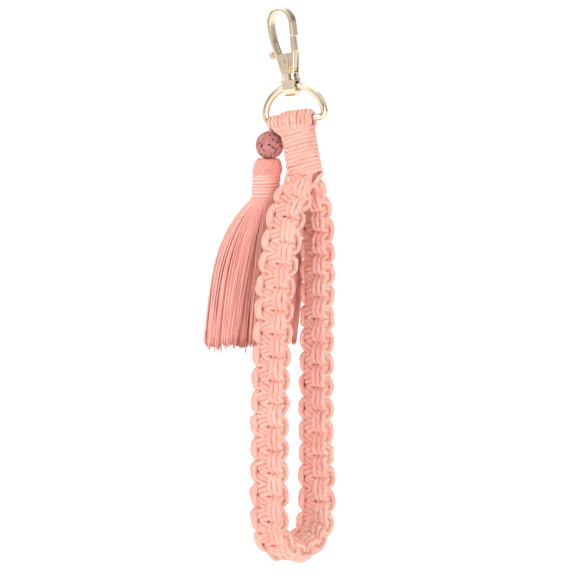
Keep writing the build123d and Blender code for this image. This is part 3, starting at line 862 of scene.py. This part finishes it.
class WRISTLET_OT_bead(bpy.types.Operator):
    """Make the porous lava bead with its drilled hole"""

    bl_idname = "wristlet.bead"
    bl_label = "Add Lava Bead"

    def execute(self, context):
        centre = np.array(JOINTS["bead_spin"]["pos_m"])
        axis = np.array(JOINTS["bead_spin"]["axis"], float)
        radius = np.linalg.norm(node_points("lava_bead") - centre, axis=1).max()
        bm = bmesh.new()
        bmesh.ops.create_icosphere(bm, subdivisions=7, radius=1.0)
        mesh = clean_mesh(bm, "lava_bead_stone")
        ball = np.empty(len(mesh.vertices) * 3)
        mesh.vertices.foreach_get("co", ball)
        ball = unit(ball.reshape(-1, 3))
        chance = np.random.default_rng(47)

        # Pores are cups of many sizes, most of them small. Sizes are shares of the bead's radius.
        depth = np.zeros(len(ball))
        for _ in range(PORES):
            middle = unit(chance.normal(0, 1, 3))
            size = SMALLEST_PORE + PORE_RANGE * chance.random() ** 2.4
            stretch = unit(np.cross(middle, chance.normal(0, 1, 3)))
            away = ball - middle
            far = np.linalg.norm(away, axis=1) ** 2 + 0.9 * (away @ stretch) ** 2
            cup = np.clip(1 - far / size**2, 0, 1) ** PORE_STEEPNESS
            depth = np.maximum(depth, cup * size * PORE_DEPTH * (0.7 + 0.5 * chance.random()))
        lumps = np.zeros(len(ball))
        for _ in range(LUMP_WAVES):
            lumps += LUMP_HEIGHT * np.sin(ball @ chance.normal(0, 9, 3) + chance.random() * 6)
        lumps = np.clip(lumps, -0.012, 0.008) - 0.008

        from_axis = np.linalg.norm(np.cross(ball, axis), axis=1) * radius / MM
        drilled = np.clip((BEAD_HOLE_RADIUS - from_axis) / 0.25, 0, 1) * 0.2
        size = 1 - depth + lumps - drilled
        mesh.vertices.foreach_set("co", (centre + ball * (size * radius)[:, None]).reshape(-1))
        # Mask for painted shade, darkest in the deep pores and in the drilled hole.
        pore_shade = np.clip(depth / 0.05 + drilled * 5, 0, 1)
        mesh.attributes.new("pore_shade", "FLOAT", "POINT").data.foreach_set("value", pore_shade)
        add_piece("lava_bead_stone", mesh, "stone", "bead", ["lava_bead"])
        return {"FINISHED"}


# ---------- tassel
# The head's outline: share of the way from its top to the wrap, and radius in millimetres.
HEAD_OUTLINE = [(0.0, 0.9), (-0.02, 2.4), (-0.09, 4.1), (0.10, 5.2), (0.5, 5.75), (1.0, 5.2), (1.15, 4.9)]
# The head's two layers of threads: how many, and how deep they lie.
HEAD_LAYERS = ((31, 0.0), (31, 0.55))
HEAD_SWIRL = -0.95
HEAD_THREAD_RADIUS = 0.48
BINDING_TURNS = 7
BINDING_RADIUS = 5.45
BINDING_CORD_RADIUS = 0.70
TASSEL_CORD_RADIUS = 0.8
SKIRT_CLUMPS = 34
SKIRT_TOP_RADIUS = 5.2
SKIRT_FLARE = 3.6
CLUMP_PULL = 0.42
SLICE = 0.3
GOLDEN_ANGLE = 2.39996
# The head and its binding are one run of hand work, so they share their random draws.
HEAD_CHANCE = np.random.default_rng(53)


def level_middle(points, low):
    """Middle of the lowest or the highest slice of a node."""
    edge = points[:, 2].min() if low else points[:, 2].max()
    near = points[np.abs(points[:, 2] - edge) < SLICE]
    return (near.min(0) + near.max(0)) / 2


def tassel_places():
    """Top of the head, and top and foot of the wrap, in millimetres."""
    head, wrap = (node_points(name) / MM for name in ("tassel_head", "tassel_wrap"))
    return level_middle(head, False), level_middle(wrap, False), level_middle(wrap, True)


def skirt_foot():
    """Middle of the skirt's foot, the directions along and through its fan, and its half sizes there."""
    skirt = node_points("tassel_skirt") / MM
    foot = skirt[skirt[:, 2] < skirt[:, 2].min() + SLICE]
    middle = (foot.min(0) + foot.max(0)) / 2
    spread = (foot - middle)[:, :2]
    vectors = np.linalg.eigh(spread.T @ spread)[1]
    fan = np.array([*vectors[:, 1], 0.0]) * np.sign(vectors[0, 1])
    thick = np.array([-fan[1], fan[0], 0.0])
    return middle, fan, thick, np.abs((foot - middle) @ fan).max(), np.abs((foot - middle) @ thick).max()


class WRISTLET_OT_tassel_head(bpy.types.Operator):
    """Drape the folded threads over the top of the tassel"""

    bl_idname = "wristlet.tassel_head"
    bl_label = "Add Tassel Head"

    def execute(self, context):
        top, wrap_top, _ = tassel_places()
        threads = []
        for layer, (count, inset) in enumerate(HEAD_LAYERS):
            for i in range(count):
                angle = (i + 0.5 * layer) * 2 * math.pi / count + HEAD_CHANCE.normal(0, 0.015)
                swirl = HEAD_SWIRL + HEAD_CHANCE.normal(0, 0.03)
                route = []
                for share, radius in HEAD_OUTLINE:
                    turn = angle + swirl * share
                    middle = top + (wrap_top - top) * share
                    out = radius - inset + HEAD_CHANCE.normal(0, 0.14)
                    route.append(middle + (out * math.cos(turn), out * math.sin(turn), -inset * 0.6 - 0.45))
                threads.append(smooth(route, 4))
        mesh = strand_mesh("tassel_head_threads", np.array(threads) * MM, HEAD_THREAD_RADIUS * MM, 8, 12)
        add_piece("tassel_head_threads", mesh, "head", "tassel", ["tassel_head"])
        return {"FINISHED"}


class WRISTLET_OT_tassel_binding(bpy.types.Operator):
    """Wind the binding round the foot of the tassel's head"""

    bl_idname = "wristlet.tassel_binding"
    bl_label = "Add Tassel Binding"

    def execute(self, context):
        _, wrap_top, wrap_foot = tassel_places()
        steps_a_turn = 48
        share = np.arange(BINDING_TURNS * steps_a_turn + 1) / (BINDING_TURNS * steps_a_turn)
        angle = share * BINDING_TURNS * 2 * math.pi + 0.8
        loose = wander(HEAD_CHANCE, len(share), BINDING_TURNS * 4, 0.10)
        out = BINDING_RADIUS + loose
        above, below = 0.26, 0.05
        middle = wrap_top + (wrap_foot - wrap_top) * ((1 + above - below) * share - above)[:, None]
        tilt = 0.45 * np.cos(angle - 0.5)
        bound = middle + np.stack([out * np.cos(angle), out * np.sin(angle), tilt + loose * 0.6], -1)
        mesh = strand_mesh("tassel_binding", bound[None] * MM, BINDING_CORD_RADIUS * MM, 10, 13)
        add_piece("tassel_binding", mesh, "thread", "tassel", ["tassel_wrap"])
        return {"FINISHED"}


class WRISTLET_OT_tassel_cord(bpy.types.Operator):
    """Loop the tassel's cord over the bar and run it down through the bead"""

    bl_idname = "wristlet.tassel_cord"
    bl_label = "Add Tassel Cord"

    def execute(self, context):
        top = tassel_places()[0] * MM
        loop = np.array(JOINTS["tassel_swing"]["pos_m"])
        middle, along, back, _ = ring_axes()
        x = np.dot(loop - middle, along) / MM
        reach = BAR_RADIUS + TASSEL_CORD_RADIUS + 0.1
        sweep = np.radians(np.linspace(-35, 215, 13))
        arc = from_ring([(x, -reach * math.cos(a), reach * math.sin(a)) for a in sweep])
        way = unit(top - loop)
        low = [top + way * 1.2 * MM + back * k * 0.35 * MM for k in (-1, 1)]
        neck = [loop + way * 3.4 * MM + back * k * 0.7 * MM for k in (-1, 1)]
        path = smooth(np.vstack([low[0], neck[0], arc, neck[1], low[1]]), 5)
        mesh = strand_mesh("tassel_loop", path[None], TASSEL_CORD_RADIUS * MM, 10, 15)
        add_piece("tassel_loop", mesh, "cord", "tassel", ["tassel_cord"])
        return {"FINISHED"}


class WRISTLET_OT_skirt(bpy.types.Operator):
    """Hang the tassel's loose threads, gathered into clumps with uneven ends"""

    bl_idname = "wristlet.skirt"
    bl_label = "Add Tassel Skirt"

    def execute(self, context):
        settings = context.scene.wristlet_tassel
        root = tassel_places()[2]
        foot, fan, thick, half_wide, half_thick = skirt_foot()
        chance = np.random.default_rng(61)
        count = settings.threads

        # Places of the threads in a unit circle, and the clump that each one leans to.
        ring = np.sqrt((np.arange(count) + 0.5) / count) ** 0.8
        turn = np.arange(count) * GOLDEN_ANGLE
        a, b = ring * np.cos(turn), ring * np.sin(turn)
        clumps = unit(chance.normal(0, 1, (SKIRT_CLUMPS, 2)))
        clumps *= 0.55 + 0.4 * chance.random((SKIRT_CLUMPS, 1))
        near = np.argmin((a[:, None] - clumps[:, 0]) ** 2 + (b[:, None] - clumps[:, 1]) ** 2, axis=1)

        share = np.linspace(0, 1, 15)
        spread = 1 - (1 - share) ** SKIRT_FLARE
        reach = chance.normal(0, 0.018, count) + 0.965 - 0.03 * np.abs(a) ** 3 + 0.02 * np.sin(a * 7 + 1)
        phase = chance.random((count, 2)) * 2 * math.pi
        threads = np.empty((count, len(share), 3))
        for k, (down, open_) in enumerate(zip(share, spread)):
            pull = CLUMP_PULL * down**1.2
            across = a * (1 - pull) + clumps[near, 0] * pull
            deep = b * (1 - pull) + clumps[near, 1] * pull
            wide = SKIRT_TOP_RADIUS + (half_wide * 1.01 - SKIRT_TOP_RADIUS) * open_
            thin = SKIRT_TOP_RADIUS + (half_thick * 0.98 - SKIRT_TOP_RADIUS) * open_
            across = across * wide + 0.35 * down * np.sin(phase[:, 0] + down * 5)
            deep = deep * thin + 0.3 * down * np.sin(phase[:, 1] + down * 6)
            middle = root + (foot - root) * (down * reach)[:, None]
            threads[:, k] = middle + fan * across[:, None] + thick * deep[:, None]
        threads[:, :, 2] += 0.3 + 0.4 * np.sin(np.clip(share * 1.6, 0, 1) * math.pi)
        mesh = strand_mesh("tassel_skirt_threads", threads * MM, settings.thread_radius, 5, 17)
        add_piece("tassel_skirt_threads", mesh, "thread", "tassel", ["tassel_skirt"])
        return {"FINISHED"}


# ---------- stage
FLOOR_DROP = 0.05
FLOOR_SIZE = 120.0
CAMERA_DISTANCE = 1.6
CAMERA_TARGET = Vector((0.0031, 0.0, -0.1173))
# Each lamp's place from the object's middle, width and power.
LAMPS = (
    ("key", (-0.9, -1.3, 0.9), 0.9, 10.0),
    ("fill", (1.5, -1.0, 0.2), 0.9, 6.5),
    ("top", (0.1, 0.3, 1.6), 1.2, 8.0),
)


def studio_sky(tree, sky):
    """White all over, with dim brown strips round the horizon that show as dark lines in the metal."""
    strip_count = 5.0
    place = tree.nodes.new("ShaderNodeTexCoord")
    parts = tree.nodes.new("ShaderNodeSeparateXYZ")
    tree.links.new(place.outputs["Generated"], parts.inputs[0])
    turn = add_math(tree, "ARCTAN2", parts.outputs["Y"], parts.outputs["X"])
    wave = add_math(tree, "SINE", add_math(tree, "MULTIPLY_ADD", turn, strip_count, 0.6))
    strips = add_range(tree, wave, -0.35, 0.1)
    low = add_range(tree, add_math(tree, "ABSOLUTE", parts.outputs["Z"]), 0.30, 0.62)
    dim = add_math(tree, "MULTIPLY", add_math(tree, "SUBTRACT", 1.0, low), strips)
    colour = add_mix(tree, dim, (1.0, 1.0, 1.0), (0.10, 0.065, 0.04))
    tree.links.new(colour, sky.inputs["Color"])
    sky.inputs["Strength"].default_value = 0.97


def add_floor(scene, z):
    """A wide pale floor at a height."""
    half = FLOOR_SIZE / 2
    mesh = bpy.data.meshes.new("floor")
    mesh.from_pydata([(-half, -half, z), (half, -half, z), (half, half, z), (-half, half, z)], [],
                     [(0, 1, 2, 3)])
    floor = bpy.data.objects.new("floor", mesh)
    scene.collection.objects.link(floor)
    paint, _, shader = new_material("Pale Floor")
    shader.inputs["Base Color"].default_value = (0.93, 0.93, 0.93, 1)
    shader.inputs["Roughness"].default_value = 0.9
    shader.inputs["Specular IOR Level"].default_value = 0.1
    shader.inputs["Emission Color"].default_value = (1, 1, 1, 1)
    shader.inputs["Emission Strength"].default_value = 0.3
    mesh.materials.append(paint)


def add_lamp(scene, name, middle, offset, width, power):
    """A round soft lamp that shines at the object's middle."""
    lamp = bpy.data.lights.new(name, "AREA")
    lamp.shape = "DISK"
    lamp.size = width
    lamp.energy = power
    holder = bpy.data.objects.new(name, lamp)
    scene.collection.objects.link(holder)
    holder.location = middle + offset
    holder.rotation_euler = (-offset).to_track_quat("-Z", "Y").to_euler()


def add_camera(scene):
    """The camera, at the settings' angles."""
    settings = scene.wristlet_stage
    camera = bpy.data.cameras.new("camera")
    view = bpy.data.objects.new("camera", camera)
    scene.collection.objects.link(view)
    a, e = settings.azimuth, settings.elevation
    back = Vector((math.sin(a) * math.cos(e), -math.cos(a) * math.cos(e), math.sin(e)))
    camera.lens = camera.sensor_width * CAMERA_DISTANCE / settings.frame_width
    view.location = CAMERA_TARGET + back * CAMERA_DISTANCE
    view.rotation_euler = (-back).to_track_quat("-Z", "Y").to_euler()
    scene.camera = view


class WRISTLET_OT_stage(bpy.types.Operator):
    """Set up the pale floor, the soft lights and the camera"""

    bl_idname = "wristlet.stage"
    bl_label = "Set Up Stage"

    def execute(self, context):
        scene = context.scene
        scene.view_settings.view_transform = "Standard"
        add_floor(scene, CAD_LOW.z - FLOOR_DROP)
        world = bpy.data.worlds.new("Studio")
        scene.world = world
        world.use_nodes = True
        studio_sky(world.node_tree, world.node_tree.nodes["Background"])
        middle = (CAD_LOW + CAD_HIGH) / 2
        for name, offset, width, power in LAMPS:
            add_lamp(scene, name, middle, Vector(offset), width, power)
        add_camera(scene)
        return {"FINISHED"}


# ---------- panel and registration
class WRISTLET_PT_panel(bpy.types.Panel):
    """Lists the steps that build the wristlet keychain"""

    bl_idname = "WRISTLET_PT_panel"
    bl_label = "Wristlet Keychain"
    bl_space_type = "VIEW_3D"
    bl_region_type = "UI"
    bl_category = "Wristlet"

    def draw(self, context):
        for step in STEPS:
            self.layout.operator(step.bl_idname)
        for group in SETTINGS:
            box = self.layout.box()
            for prop in getattr(context.scene, group).bl_rna.properties:
                if not prop.is_readonly and prop.identifier != "name":
                    box.prop(getattr(context.scene, group), prop.identifier)


SETTINGS = {
    "wristlet_cord": WristletCordSettings,
    "wristlet_tassel": WristletTasselSettings,
    "wristlet_metal": WristletMetalSettings,
    "wristlet_stage": WristletStageSettings,
}
STEPS = (
    WRISTLET_OT_stage,
    WRISTLET_OT_metal,
    WRISTLET_OT_hitch,
    WRISTLET_OT_neck,
    WRISTLET_OT_fillers,
    WRISTLET_OT_knots,
    WRISTLET_OT_bead,
    WRISTLET_OT_tassel_cord,
    WRISTLET_OT_tassel_head,
    WRISTLET_OT_tassel_binding,
    WRISTLET_OT_skirt,
)
CLASSES = (*SETTINGS.values(), *STEPS, WRISTLET_PT_panel)


def register():
    """Add the classes and the settings to Blender."""
    for made in CLASSES:
        bpy.utils.register_class(made)
    for name, made in SETTINGS.items():
        setattr(bpy.types.Scene, name, bpy.props.PointerProperty(type=made))


def unregister():
    """Take them out again."""
    for name in SETTINGS:
        delattr(bpy.types.Scene, name)
    for made in reversed(CLASSES):
        bpy.utils.unregister_class(made)


def main():
    """Build the whole wristlet."""
    register()
    for step in STEPS:
        group, name = step.bl_idname.split(".")
        getattr(getattr(bpy.ops, group), name)()


if __name__ == "__main__":
    main()
